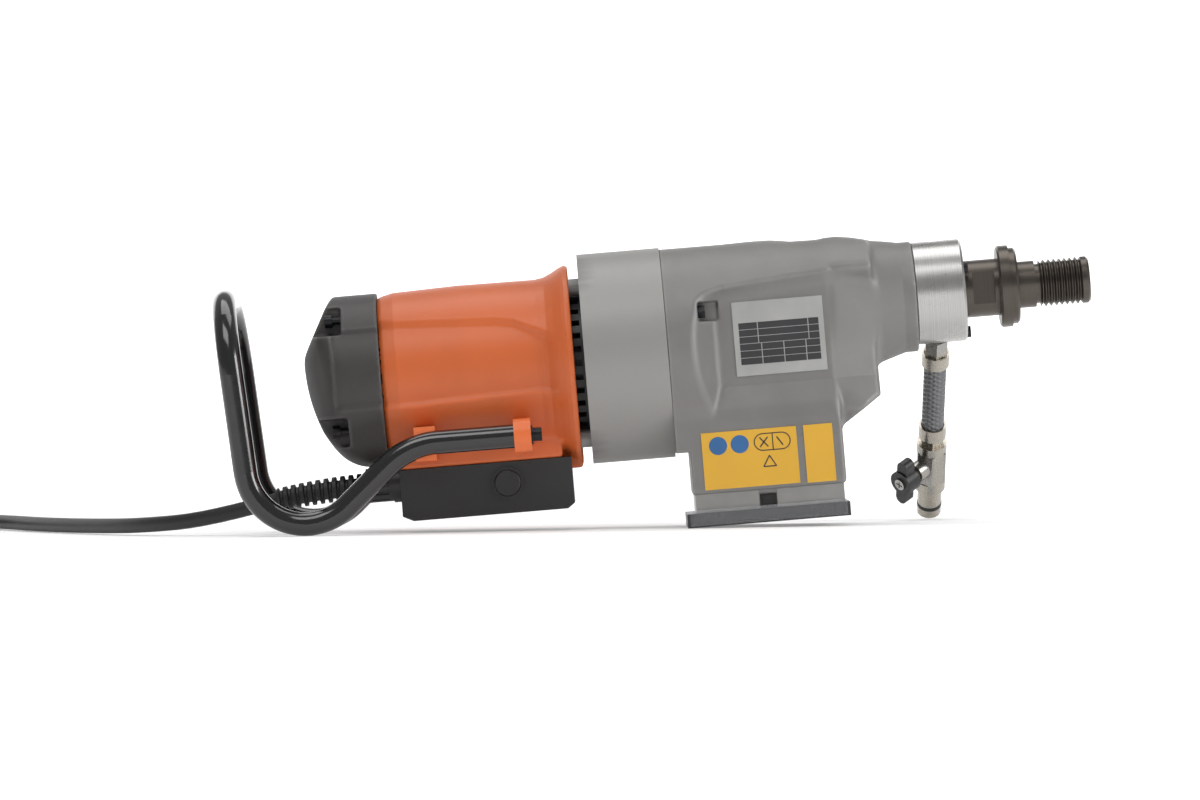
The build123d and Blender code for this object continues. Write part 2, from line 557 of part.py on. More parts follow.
with BuildPart() as soft_start_button:
    with BuildSketch(side(-BOX_HALF + 4, BUTTON_A, BUTTON_H)) as cap:
        Circle(8.8)
    extrude(cap.sketch, amount=8)
    fillet(soft_start_button.edges().sort_by(Axis.Y)[0], 1.0)
finish(soft_start_button, "soft_start_button")

with BuildPart() as power_switch:
    with BuildSketch(level(ROCKER_H - 5.8, ROCKER_A, 0)) as rocker:
        with BuildLine():
            Polyline((-10, 34), (-10, 38.2), (0, 37.2), (10, 40.2), (10, 34), close=True)
        make_face()
    extrude(rocker.sketch, amount=11.6)
    rod(spot(ROCKER_A, ROCKER_PIVOT_Y, ROCKER_H), UPWARD, -6, 6, 1.0, mode=Mode.SUBTRACT)
finish(power_switch, "power_switch")

with BuildPart() as status_lens:
    with BuildSketch(side(BOX_HALF - 2, LENS_A, ROCKER_H)) as lens:
        Circle(3)
    extrude(lens.sketch, amount=-3.4)
finish(status_lens, "status_lens")

# ---------------------------------------------------------------- handle
def handle_route():
    """The centre line of the handle's tube, from one front end round to the other."""
    corners = [HANDLE_END, FRONT_CORNER, LOW_CORNER, TOP_CORNER]
    near_side = [spot(a, -HANDLE_HALF, h) for a, h in corners]
    far_side = [spot(a, HANDLE_HALF, h) for a, h in reversed(corners)]
    bends = [FRONT_BEND_R, LOW_BEND_R, TOP_BEND_R]
    return FilletPolyline(*near_side, *far_side, radius=bends + bends[::-1])


def handle_sweep(r, bore, mode=Mode.ADD):
    with BuildLine() as route:
        handle_route()
    with BuildSketch(across(HANDLE_END[0], -HANDLE_HALF, HANDLE_END[1])) as ring:
        Circle(r)
        if bore:
            Circle(bore, mode=Mode.SUBTRACT)
    sweep(ring.sketch, path=route.line, mode=mode)


LEG_WAY = (spot(TOP_CORNER[0], 0, TOP_CORNER[1]) - spot(LOW_CORNER[0], 0, LOW_CORNER[1])).normalized()
BAR_END = HANDLE_HALF - TOP_BEND_R
LEG_TOP = spot(TOP_CORNER[0], 0, TOP_CORNER[1]) - LEG_WAY * TOP_BEND_R
LEG_FOOT = spot(LOW_CORNER[0], 0, LOW_CORNER[1]) + LEG_WAY * LOW_BEND_R
with BuildPart() as handle_tube:
    handle_sweep(TUBE_R, TUBE_BORE_R)
    # the tube is stored as short lengths, end to end
    for place in (LEG_TOP, LEG_FOOT):
        split(bisect_by=Plane(place, z_dir=LEG_WAY), keep=Keep.BOTH)
    for near in (-1, 1):
        bend = LEG_TOP + Vector(0, near * BAR_END, 0)
        split(bisect_by=Plane(bend, z_dir=(0, 1, 0)), keep=Keep.BOTH)
        split(bisect_by=Plane(bend, z_dir=LEG_WAY - Vector(0, near, 0)), keep=Keep.BOTH)
print("handle lengths", len(handle_tube.part.solids()))
finish(handle_tube, "handle_tube")

with BuildPart() as handle_brackets:
    for near in (-1, 1):
        block(69, 83, *sorted((near * 34, near * 72)), -57, -34)
    handle_sweep(TUBE_R + RUN, 0, Mode.SUBTRACT)
    disc(60, 90, HOUSING_R + RUN, mode=Mode.SUBTRACT)
    block(60, 90, -PAD_HALF - RUN, PAD_HALF + RUN, -70, -30, Mode.SUBTRACT)
finish(handle_brackets, "handle_brackets")

with BuildPart() as handle_clamps:
    for near in (-1, 1):
        disc(135.7, 147.2, 11.4, 0, near * HANDLE_HALF, HANDLE_END[1])
        block(135.7, 147.2, *sorted((near * 34, near * 64)), -53, -38)
    disc(130, 150, HOUSING_R + RUN, mode=Mode.SUBTRACT)
    block(130, 150, -PAD_HALF - RUN, PAD_HALF + RUN, -70, -30, Mode.SUBTRACT)
    for near in (-1, 1):
        disc(135, 146.1, TUBE_R + RUN, 0, near * HANDLE_HALF, HANDLE_END[1], Mode.SUBTRACT)
        disc(146, 148, 3.1, 0, near * HANDLE_HALF, HANDLE_END[1], Mode.SUBTRACT)
finish(handle_clamps, "handle_clamps")

with BuildPart() as handle_bolts:
    for near in (-1, 1):
        disc(132, 147.2, 3, 0, near * HANDLE_HALF, HANDLE_END[1])
        disc(147.2, 148.4, 6.5, 0, near * HANDLE_HALF, HANDLE_END[1])
        disc(148.4, 154.4, 4.6, 0, near * HANDLE_HALF, HANDLE_END[1])
finish(handle_bolts, "handle_bolts")

# ---------------------------------------------------------------- water connection
with BuildPart() as upper_ferrule:
    rod(PORT_START, PORT_WAY, 25, 41, 6.0)
    rod(PORT_START, PORT_WAY, 41, 54, 8.6, sides=6)
    rod(PORT_START, PORT_WAY, 54, 64, 9.5)
    rod(PORT_START, PORT_WAY, 24, 54, 3.0, mode=Mode.SUBTRACT)
    rod(PORT_START, PORT_WAY, 54, 64, 8.05, mode=Mode.SUBTRACT)
finish(upper_ferrule, "upper_ferrule")

with BuildPart() as braided_hose:
    rod(PORT_START, PORT_WAY, 54, 129, 8.0, 5.0)
finish(braided_hose, "braided_hose")

with BuildPart() as lower_ferrule:
    rod(PORT_START, PORT_WAY, 119, 129, 9.5)
    rod(PORT_START, PORT_WAY, 129, 135, 8.6, sides=6)
    rod(PORT_START, PORT_WAY, 119, 129, 8.05, mode=Mode.SUBTRACT)
    rod(PORT_START, PORT_WAY, 129, 135, 4.0, mode=Mode.SUBTRACT)
finish(lower_ferrule, "lower_ferrule")

VALVE_S = 154.0
STEM_WAY = Vector(FORWARD * -0.72 + Vector(0, -0.586, 0) + UPWARD * -0.373)
STEM_WAY = (STEM_WAY - PORT_WAY * STEM_WAY.dot(PORT_WAY)).normalized()
VALVE_CENTRE = PORT_START + PORT_WAY * VALVE_S
with BuildPart() as valve_body:
    rod(PORT_START, PORT_WAY, 135, 142, 10.4)
    rod(PORT_START, PORT_WAY, 142, 168, 11.3, sides=6)
    rod(PORT_START, PORT_WAY, 168, 176, 10.4)
    rod(VALVE_CENTRE, STEM_WAY, 0, 17, 7.0)
    rod(PORT_START, PORT_WAY, 135, 176, 4.0, mode=Mode.SUBTRACT)
    rod(PORT_START, PORT_WAY, VALVE_S - 8.2, VALVE_S + 8.2, 8.2, mode=Mode.SUBTRACT)
    rod(VALVE_CENTRE, STEM_WAY, 0, 18, 3.5 + RUN, mode=Mode.SUBTRACT)
finish(valve_body, "valve_body")

with BuildPart() as valve_ball:
    with BuildSketch(Plane(VALVE_CENTRE, x_dir=PORT_WAY, z_dir=STEM_WAY)) as waist:
        Circle(6.5)
    extrude(waist.sketch, amount=4.8, both=True)
    rod(VALVE_CENTRE, STEM_WAY, 4, 31, 3.5)
    rod(PORT_START, PORT_WAY, VALVE_S - 10, VALVE_S + 10, 4.0, mode=Mode.SUBTRACT)
finish(valve_ball, "valve_ball")

with BuildPart() as valve_knob:
    rod(VALVE_CENTRE, STEM_WAY, 21, 32, 9.0)
    with BuildSketch(Plane(VALVE_CENTRE + STEM_WAY * 23, x_dir=PORT_WAY, z_dir=STEM_WAY)) as wings:
        SlotOverall(36, 9)
    extrude(wings.sketch, amount=8)
    rod(VALVE_CENTRE, STEM_WAY, 20, 31, 3.5, mode=Mode.SUBTRACT)
    rod(VALVE_CENTRE, STEM_WAY, 31, 33, 4.2, mode=Mode.SUBTRACT)
finish(valve_knob, "valve_knob")

with BuildPart() as knob_screw:
    rod(VALVE_CENTRE, STEM_WAY, 31, 33.4, 4.1)
    with BuildSketch(Plane(VALVE_CENTRE + STEM_WAY * 32.4, x_dir=PORT_WAY, z_dir=STEM_WAY)) as cross:
        Rectangle(5.2, 1.1)
        Rectangle(1.1, 5.2)
    extrude(cross.sketch, amount=2, mode=Mode.SUBTRACT)
finish(knob_screw, "knob_screw")

with BuildPart() as nipple:
    rod(PORT_START, PORT_WAY, 176, 199, NIPPLE_R)
    rod(PORT_START, PORT_WAY, 176, 199, 4.0, mode=Mode.SUBTRACT)
    rod(PORT_START, PORT_WAY, 190, 193, NIPPLE_R + 1, 6.6, mode=Mode.SUBTRACT)
finish(nipple, "nipple")

with BuildPart() as nipple_o_ring:
    rod(PORT_START, PORT_WAY, 190.2, 192.8, 8.5, 6.6)
finish(nipple_o_ring, "nipple_o_ring")

# ---------------------------------------------------------------- cord, coil and plug
RELIEF_END = Vector(ORIGIN.X - 23, ORIGIN.Y - 19, 23.5)
RELIEF_R = 9.0
with BuildPart() as cable_gland:
    disc(51, BOX_BACK, 12.6, 0, GLAND_Y, GLAND_H)
    disc(33, 51, 11.6, 0, GLAND_Y, GLAND_H)
    disc(BOX_BACK, 62, 7.4, 0, GLAND_Y, GLAND_H)
    disc(30, 63, CORD_R, 0, GLAND_Y, GLAND_H, Mode.SUBTRACT)
    with BuildSketch(across(36, GLAND_Y, GLAND_H)) as grips:
        with PolarLocations(11.6, 12):
            Circle(1.2)
    extrude(grips.sketch, amount=12, mode=Mode.SUBTRACT)
finish(cable_gland, "cable_gland")

with BuildPart() as strain_relief:
    with BuildLine() as relief_route:
        FilletPolyline(spot(33, GLAND_Y, GLAND_H), spot(2, GLAND_Y, GLAND_H), RELIEF_END, radius=[60])
    with BuildSketch(Plane(relief_route.line @ 0, z_dir=relief_route.line % 0)) as relief_ring:
        Circle(RELIEF_R)
    sweep(relief_ring.sketch, path=relief_route.line)
finish(strain_relief, "strain_relief")

# The route's points are x and y from the tool's origin, and height above the floor.
CORD_POINTS = [(-69, -17, 11.4), (-117, 26, 7.0), (-155, 97, 5.8), (-200, 198, 5.4),
               (-236, 298, 5.9), (-275, 403.5, 5.4)]
COIL_CENTRE = (-346.7, 377)
COIL_RADII = [76.5, 66.0, 55.5, 45.0]
COIL_MIDDLE = (COIL_RADII[0] + COIL_RADII[-1]) / 2
LAYER = 2 * CORD_R + 0.3
TAIL_POINTS = [(-308.1, 443, 15.9), (-351, 469.5, 11.6), (-401, 481, 6.0), (-448, 467, 5.4)]


def floor_point(x, y, z):
    return Vector(ORIGIN.X + x, ORIGIN.Y + y, z)


def bend_radii(points):
    """Each bend is as large as its two runs allow."""
    radii = []
    for before, here, after in zip(points, points[1:], points[2:]):
        turn = radians((here - before).get_angle(after - here))
        radii.append(0.45 * min((here - before).length, (after - here).length) / tan(turn / 2))
    return radii


def cord_tube(points, name):
    radii = bend_radii(points)
    print(name, "radii", [round(radius) for radius in radii])
    with BuildLine() as route:
        FilletPolyline(*points, radius=radii)
    with BuildSketch(Plane(route.line @ 0, z_dir=route.line % 0)) as section:
        Circle(CORD_R)
    sweep(section.sketch, path=route.line)
    length = sum(edge.length for edge in route.line.edges())
    print(name, "length", length, "section times length", pi * CORD_R**2 * length)


with BuildPart() as cord_run:
    cord_tube([RELIEF_END] + [floor_point(*point) for point in CORD_POINTS], "cord_run")
print("cord_run volume", cord_run.part.volume)
finish(cord_run, "cord_run")

with BuildPart() as cord_coil:
    with BuildSketch(Plane(floor_point(*COIL_CENTRE, 0.2))) as hank:
        Circle(COIL_RADII[0] + CORD_R)
        Circle(COIL_RADII[-1] - CORD_R, mode=Mode.SUBTRACT)
    extrude(hank.sketch, amount=2 * CORD_R + LAYER)
    fillet(cord_coil.edges().filter_by(GeomType.CIRCLE), 4)
print("coil length", 2 * sum(2 * pi * radius for radius in COIL_RADII))
finish(cord_coil, "cord_coil")

with BuildPart() as cord_tail:
    cord_tube([floor_point(*point) for point in TAIL_POINTS], "cord_tail")
print("cord_tail volume", cord_tail.part.volume)
finish(cord_tail, "cord_tail")

with BuildPart() as coil_tie:
    with BuildSketch(Plane(floor_point(COIL_CENTRE[0] - COIL_MIDDLE, COIL_CENTRE[1] - 6, 0),
                           x_dir=(1, 0, 0), z_dir=(0, 1, 0))) as strap:
        with Locations((0, -11.4)):
            RectangleRounded(44, 22.6, 4)
            RectangleRounded(41.8, 20.6, 3.6, mode=Mode.SUBTRACT)
    extrude(strap.sketch, amount=12)
finish(coil_tie, "coil_tie")

PLUG_START = floor_point(*TAIL_POINTS[-1])
PLUG_WAY = (PLUG_START - floor_point(*TAIL_POINTS[-2])).normalized()
PLUG_WAY = Vector(PLUG_WAY.X, PLUG_WAY.Y, 0).normalized()
PLUG_HALF = 15.0
plug_frame = Plane(Vector(PLUG_START.X, PLUG_START.Y, PLUG_HALF), x_dir=(0, 0, 1), z_dir=PLUG_WAY)
with BuildPart() as power_plug:
    with BuildSketch(plug_frame) as collar_end:
        Circle(9.0)
    with BuildSketch(plug_frame.offset(18)) as body_end:
        Circle(14.5)
    loft(sections=[collar_end.sketch, body_end.sketch])
    extrude(body_end.sketch, amount=26)
    with BuildSketch(plug_frame.offset(44)) as face_end:
        Circle(14.9)
    extrude(face_end.sketch, amount=8)
finish(power_plug, "power_plug")

with BuildPart() as plug_blades:
    with BuildSketch(plug_frame.offset(52)) as blades:
        with Locations((3, -6.35), (3, 6.35)):
            Rectangle(6.4, 1.6)
        with Locations((-8.5, 0)):
            Circle(2.4)
    extrude(blades.sketch, amount=18)
finish(plug_blades, "plug_blades")

print(len(finished), "pieces")
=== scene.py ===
import json
import math

import bpy
import numpy as np
from mathutils import Matrix, Vector


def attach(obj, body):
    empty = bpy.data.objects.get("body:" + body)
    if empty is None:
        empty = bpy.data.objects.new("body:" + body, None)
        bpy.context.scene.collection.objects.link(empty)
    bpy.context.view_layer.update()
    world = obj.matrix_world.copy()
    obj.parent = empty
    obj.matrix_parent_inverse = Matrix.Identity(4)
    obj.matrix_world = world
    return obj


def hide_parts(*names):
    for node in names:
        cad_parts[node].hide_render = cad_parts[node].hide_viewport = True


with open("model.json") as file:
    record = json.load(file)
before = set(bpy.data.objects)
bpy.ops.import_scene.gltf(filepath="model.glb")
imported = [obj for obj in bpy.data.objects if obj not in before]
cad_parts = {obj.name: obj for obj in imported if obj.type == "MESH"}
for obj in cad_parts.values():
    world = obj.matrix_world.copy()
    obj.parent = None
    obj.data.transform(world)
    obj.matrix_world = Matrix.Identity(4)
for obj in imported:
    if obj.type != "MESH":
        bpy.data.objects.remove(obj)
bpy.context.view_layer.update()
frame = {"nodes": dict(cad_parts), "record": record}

MM = 0.001
FRAME_BODY = "drill_frame"

# ---------------------------------------------------------------- the tool's own axes
# a runs forward along the motor axis, y is across, h is height above the motor axis, in mm.
record = frame["record"]
mounts = {mount["name"]: mount for mount in record["mounts"]}
SPINDLE_RISE = 28.4
SHOULDER_A, SHOULDER_Y = 484.0, 20.0
FORWARD = Vector(mounts["bit_shoulder"]["axis"])
UPWARD = -Vector(mounts["plate_face"]["axis"])
ACROSS = Vector((0, 1, 0))
ORIGIN = (
    Vector(mounts["bit_shoulder"]["pos_m"])
    - FORWARD * SHOULDER_A * MM
    - ACROSS * SHOULDER_Y * MM
    - UPWARD * SPINDLE_RISE * MM
)
AXES = np.array([FORWARD[:], ACROSS[:], UPWARD[:]]) * MM


def spot(a, y, h):
    return ORIGIN + (FORWARD * a + ACROSS * y + UPWARD * h) * MM


def placed(points):
    """Tool points, as an array of (a, y, h) rows, in the row's frame."""
    return np.asarray(points, dtype=float) @ AXES + np.array(ORIGIN[:])


# ---------------------------------------------------------------- materials
def node_material(name):
    made = bpy.data.materials.new(name)
    made.use_nodes = True
    tree = made.node_tree
    shader = tree.nodes["Principled BSDF"]
    return made, tree, shader


def noise(tree, scale, detail=4.0, rough=0.55, stretch=None):
    """A noise texture in object space, with its vector optionally stretched."""
    coords = tree.nodes.new("ShaderNodeTexCoord")
    texture = tree.nodes.new("ShaderNodeTexNoise")
    texture.inputs["Scale"].default_value = scale
    texture.inputs["Detail"].default_value = detail
    texture.inputs["Roughness"].default_value = rough
    if stretch:
        mapping = tree.nodes.new("ShaderNodeMapping")
        mapping.inputs["Scale"].default_value = stretch
        tree.links.new(coords.outputs["Object"], mapping.inputs["Vector"])
        tree.links.new(mapping.outputs["Vector"], texture.inputs["Vector"])
    else:
        tree.links.new(coords.outputs["Object"], texture.inputs["Vector"])
    return texture.outputs["Fac"]


def ramp(tree, source, low, high, low_colour, high_colour):
    """Maps a value from low to high onto two colours."""
    node = tree.nodes.new("ShaderNodeValToRGB")
    node.color_ramp.elements[0].position = low
    node.color_ramp.elements[1].position = high
    node.color_ramp.elements[0].color = (*low_colour, 1)
    node.color_ramp.elements[1].color = (*high_colour, 1)
    tree.links.new(source, node.inputs["Fac"])
    return node.outputs["Color"]


def shade(colour, factor):
    return tuple(min(1.0, part * factor) for part in colour)


def surface(name, colour, rough, metal=0.0, grain=900.0, grain_depth=0.15, blotch=25.0,
            spread=0.12, wear=None, stretch=None, coat=0.0, rough_spread=0.08, bump_mm=0.15):
    """A finish with blotches of tone, a fine grain in bump and roughness, and worn edges."""
    made, tree, shader = node_material(name)
    shader.inputs["Metallic"].default_value = metal
    if coat:
        shader.inputs["Coat Weight"].default_value = coat
        shader.inputs["Coat Roughness"].default_value = 0.12
    tone = ramp(tree, noise(tree, blotch), 0.3, 0.7,
                shade(colour, 1 - spread), shade(colour, 1 + spread))
    if wear:
        geometry = tree.nodes.new("ShaderNodeNewGeometry")
        edges = ramp(tree, geometry.outputs["Pointiness"], 0.51, 0.60, (0, 0, 0), (1, 1, 1))
        mix = tree.nodes.new("ShaderNodeMix")
        mix.data_type = "RGBA"
        mix.inputs["B"].default_value = (*wear, 1)
        tree.links.new(edges, mix.inputs["Factor"])
        tree.links.new(tone, mix.inputs["A"])
        tone = mix.outputs["Result"]
    tree.links.new(tone, shader.inputs["Base Color"])
    fine = noise(tree, grain, 3.0, 0.6, stretch)
    spreader = tree.nodes.new("ShaderNodeMapRange")
    spreader.inputs["From Min"].default_value = 0.3
    spreader.inputs["From Max"].default_value = 0.7
    spreader.inputs["To Min"].default_value = max(0.02, rough - rough_spread)
    spreader.inputs["To Max"].default_value = min(1.0, rough + rough_spread)
    tree.links.new(fine, spreader.inputs["Value"])
    tree.links.new(spreader.outputs["Result"], shader.inputs["Roughness"])
    bump = tree.nodes.new("ShaderNodeBump")
    bump.inputs["Strength"].default_value = grain_depth
    bump.inputs["Distance"].default_value = bump_mm * MM
    tree.links.new(fine, bump.inputs["Height"])
    tree.links.new(bump.outputs["Normal"], shader.inputs["Normal"])
    return made


def turned_metal(name, colour, rough, pitch_mm=0.35, depth=0.25, metal=1.0):
    """Turned metal: fine rings across the tool's axis, with streaks of tone round it."""
    made, tree, shader = node_material(name)
    shader.inputs["Metallic"].default_value = metal
    coords = tree.nodes.new("ShaderNodeTexCoord")
    along = tree.nodes.new("ShaderNodeVectorMath")
    along.operation = "DOT_PRODUCT"
    along.inputs[1].default_value = FORWARD
    tree.links.new(coords.outputs["Object"], along.inputs[0])
    lines = tree.nodes.new("ShaderNodeTexNoise")
    lines.noise_dimensions = "1D"
    lines.inputs["Scale"].default_value = 1 / (pitch_mm * MM)
    lines.inputs["Detail"].default_value = 3
    tree.links.new(along.outputs["Value"], lines.inputs["W"])
    tone = ramp(tree, lines.outputs["Fac"], 0.3, 0.7, shade(colour, 0.82), shade(colour, 1.15))
    tree.links.new(tone, shader.inputs["Base Color"])
    mapped = tree.nodes.new("ShaderNodeMapRange")
    mapped.inputs["To Min"].default_value = rough - 0.06
    mapped.inputs["To Max"].default_value = rough + 0.12
    tree.links.new(noise(tree, 60.0), mapped.inputs["Value"])
    tree.links.new(mapped.outputs["Result"], shader.inputs["Roughness"])
    bump = tree.nodes.new("ShaderNodeBump")
    bump.inputs["Strength"].default_value = depth
    bump.inputs["Distance"].default_value = 0.05 * MM
    tree.links.new(lines.outputs["Fac"], bump.inputs["Height"])
    tree.links.new(bump.outputs["Normal"], shader.inputs["Normal"])
    return made


ORANGE = (0.60, 0.125, 0.03)
MATERIALS = {
    "orange_plastic": surface("orange_plastic", ORANGE, 0.42, grain=1400, grain_depth=0.25,
                              spread=0.04, wear=shade(ORANGE, 1.25)),
    "dark_plastic": surface("dark_plastic", (0.042, 0.039, 0.037), 0.5, grain=1300,
                            grain_depth=0.3, wear=(0.13, 0.125, 0.12)),
    "black_plastic": surface("black_plastic", (0.016, 0.016, 0.016), 0.42, grain=1200),
    "cast_aluminium": surface("cast_aluminium", (0.205, 0.20, 0.194), 0.5, 0.35, grain=1500,
                              grain_depth=0.5, spread=0.07, wear=(0.3, 0.295, 0.285)),
    "machined_aluminium": surface("machined_aluminium", (0.36, 0.355, 0.345), 0.36, 0.8,
                                  grain=300, stretch=(0.25, 3, 3), grain_depth=0.2),
    "dark_aluminium": surface("dark_aluminium", (0.06, 0.06, 0.062), 0.4, 0.6, grain=700),
    "black_steel": surface("black_steel", (0.006, 0.006, 0.007), 0.16, grain=180,
                           grain_depth=0.05, coat=0.6, rough_spread=0.05),
    "zinc_steel": surface("zinc_steel", (0.45, 0.44, 0.42), 0.33, 1.0, grain=900),
    "black_oxide_steel": surface("black_oxide_steel", (0.02, 0.02, 0.022), 0.35, 0.7, grain=900),
    "spindle_steel": turned_metal("spindle_steel", (0.105, 0.092, 0.08), 0.3),
    "collar_metal": turned_metal("collar_metal", (0.48, 0.475, 0.465), 0.26, 0.5, depth=0.12),
    "gear_steel": surface("gear_steel", (0.35, 0.35, 0.36), 0.3, 1.0, grain=800),
    "iron_core": surface("iron_core", (0.10, 0.09, 0.085), 0.6, 0.6, stretch=(6, 1, 1)),
    "copper": surface("copper", (0.62, 0.28, 0.13), 0.3, 1.0, grain=700),
    "plated_brass": surface("plated_brass", (0.36, 0.35, 0.33), 0.28, 1.0, grain=700,
                            spread=0.1, wear=(0.42, 0.39, 0.34)),
    "braid": surface("braid", (0.17, 0.17, 0.175), 0.38, 0.7, grain=2500, grain_depth=0.4),
    "black_rubber": surface("black_rubber", (0.014, 0.014, 0.014), 0.5, grain=1500,
                            grain_depth=0.3),
    "plate_print": surface("plate_print", (0.40, 0.40, 0.39), 0.35, 0.35, grain=900),
    "label_print": surface("label_print", (0.70, 0.39, 0.035), 0.4, grain=900, spread=0.04),
    "cell_ink": surface("cell_ink", (0.03, 0.03, 0.032), 0.4, grain=900),
    "blue_ink": surface("blue_ink", (0.03, 0.13, 0.33), 0.4, grain=900),
}


def clear_material(name, colour, alpha, rough):
    made, tree, shader = node_material(name)
    shader.inputs["Alpha"].default_value = alpha
    shader.inputs["Roughness"].default_value = rough
    tone = ramp(tree, noise(tree, 80.0), 0.3, 0.7, shade(colour, 0.93), shade(colour, 1.05))
    tree.links.new(tone, shader.inputs["Base Color"])
    return made


MATERIALS["clear_plastic"] = clear_material("clear_plastic", (0.75, 0.77, 0.79), 0.16, 0.12)
MATERIALS["lens"] = clear_material("lens", (0.05, 0.5, 0.09), 0.85, 0.15)


def finish_piece(piece, slot, material=None, body=FRAME_BODY):
    """Gives a new piece its material, looked up by the slot name unless material is given, and its
    body.
    """
    piece.data.materials.clear()
    piece.data.materials.append(MATERIALS[material or slot])
    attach(piece, body)
    return piece


def new_piece(name, points, faces, normals=None, smooth=True):
    mesh = bpy.data.meshes.new(name)
    mesh.from_pydata([tuple(point) for point in points], [], faces)
    mesh.update()
    if smooth:
        mesh.shade_smooth()
    if normals is not None:
        mesh.normals_split_custom_set_from_vertices([tuple(normal) for normal in normals])
    piece = bpy.data.objects.new(name, mesh)
    bpy.context.scene.collection.objects.link(piece)
    return piece


for entry in record["subparts"]:
    cad_node = frame["nodes"][entry["node"]]
    cad_node.data.materials.clear()
    cad_node.data.materials.append(MATERIALS[entry["material_slot"]])
collar = frame["nodes"]["water_collar"]
collar.data.materials[0] = MATERIALS["collar_metal"]
for dark_node in ("handle_bolts", "cover_screws"):
    frame["nodes"][dark_node].data.materials[0] = MATERIALS["black_oxide_steel"]
frame["nodes"]["electronics_box"].data.materials[0] = MATERIALS["black_plastic"]
frame["nodes"]["mounting_plate"].data.materials[0] = MATERIALS["dark_aluminium"]

# ---------------------------------------------------------------- camera, floor and light
CAMERA_DISTANCE = 4.4
SCALE_MM_PER_PIXEL = 0.68
IMAGE_WIDTH = 1200
EYE_RISE = 8.2
ROLL = math.radians(1.01)
target = spot(195, 0, -26)
eye = target + Vector((0, -CAMERA_DISTANCE, EYE_RISE * MM))
looking = (target - eye).normalized()
right = looking.cross(Vector((0, 0, 1))).normalized()
upright = right.cross(looking)
rolled_right = right * math.cos(ROLL) - upright * math.sin(ROLL)
rolled_up = upright * math.cos(ROLL) + right * math.sin(ROLL)
camera = bpy.data.objects.new("camera", bpy.data.cameras.new("camera"))
camera.matrix_world = Matrix([
    [rolled_right[0], rolled_up[0], -looking[0], eye[0]],
    [rolled_right[1], rolled_up[1], -looking[1], eye[1]],
    [rolled_right[2], rolled_up[2], -looking[2], eye[2]],
    [0, 0, 0, 1],
])
camera.data.sensor_width = 36
camera.data.lens = 36 * CAMERA_DISTANCE / (IMAGE_WIDTH * SCALE_MM_PER_PIXEL * MM)
camera.data.clip_end = 60
bpy.context.scene.collection.objects.link(camera)
bpy.context.scene.camera = camera

def backdrop_material():
    """A pale matt floor that glows a little more on the wall far behind, which the lights miss."""
    made, tree, shader = node_material("backdrop")
    coords = tree.nodes.new("ShaderNodeTexCoord")
    parts = tree.nodes.new("ShaderNodeSeparateXYZ")
    glow = tree.nodes.new("ShaderNodeMapRange")
    glow.inputs["From Min"].default_value = 0.5
    glow.inputs["From Max"].default_value = 3.0
    glow.inputs["To Min"].default_value = FLOOR_GLOW
    glow.inputs["To Max"].default_value = WALL_GLOW
    tree.links.new(coords.outputs["Object"], parts.inputs["Vector"])
    distance = tree.nodes.new("ShaderNodeMath")
    distance.operation = "ABSOLUTE"
    tree.links.new(parts.outputs["Y"], distance.inputs[0])
    tree.links.new(distance.outputs["Value"], glow.inputs["Value"])
    tree.links.new(glow.outputs["Result"], shader.inputs["Emission Strength"])
    shader.inputs["Emission Color"].default_value = (1, 1, 1, 1)
    shader.inputs["Base Color"].default_value = (0.86, 0.86, 0.86, 1)
    shader.inputs["Roughness"].default_value = 0.9
    return made


FLOOR_GLOW, WALL_GLOW = 0.24, 0.95
FLOOR_FRONT, FLOOR_BACK, FLOOR_SIDE = -16.0, 13.0, 16.0
CURVE_RADIUS, WALL_TOP = 2.5, 9.0


def make_backdrop():
    """A floor that curves up into a wall, far enough back that no view stands behind it."""
    rows = [(FLOOR_FRONT, 0.0), (FLOOR_BACK, 0.0)]
    rows += [(FLOOR_BACK + CURVE_RADIUS * math.sin(turn), CURVE_RADIUS * (1 - math.cos(turn)))
             for turn in np.linspace(0.1, math.pi / 2, 16)]
    rows.append((FLOOR_BACK + CURVE_RADIUS, WALL_TOP))
    points = [(side, y, z) for y, z in rows for side in (-FLOOR_SIDE, FLOOR_SIDE)]
    faces = [(2 * i, 2 * i + 1, 2 * i + 3, 2 * i + 2) for i in range(len(rows) - 1)]
    floor = new_piece("backdrop", points, faces)
    floor.data.materials.append(backdrop_material())


def area_light(name, place, aim, size, power):
    lamp = bpy.data.objects.new(name, bpy.data.lights.new(name, "AREA"))
    lamp.data.shape = "RECTANGLE"
    lamp.data.size, lamp.data.size_y = size
    lamp.data.energy = power
    lamp.location = place
    lamp.rotation_euler = (Vector(aim) - Vector(place)).to_track_quat("-Z", "Y").to_euler()
    bpy.context.scene.collection.objects.link(lamp)


make_backdrop()
area_light("key_light", (-0.6, -1.3, 2.0), (0, 0, 0.08), (1.6, 0.9), 16)
area_light("side_light", (1.9, -0.9, 0.75), (0, 0, 0.1), (0.9, 0.9), 20)
area_light("top_light", (0.1, 0.4, 2.2), (0, 0, 0.05), (2.4, 1.2), 20)
world = bpy.data.worlds.new("studio")
world.use_nodes = True
world.node_tree.nodes["Background"].inputs["Color"].default_value = (1, 1, 1, 1)
world.node_tree.nodes["Background"].inputs["Strength"].default_value = 0.33
bpy.context.scene.world = world
bpy.context.scene.view_settings.view_transform = "Standard"

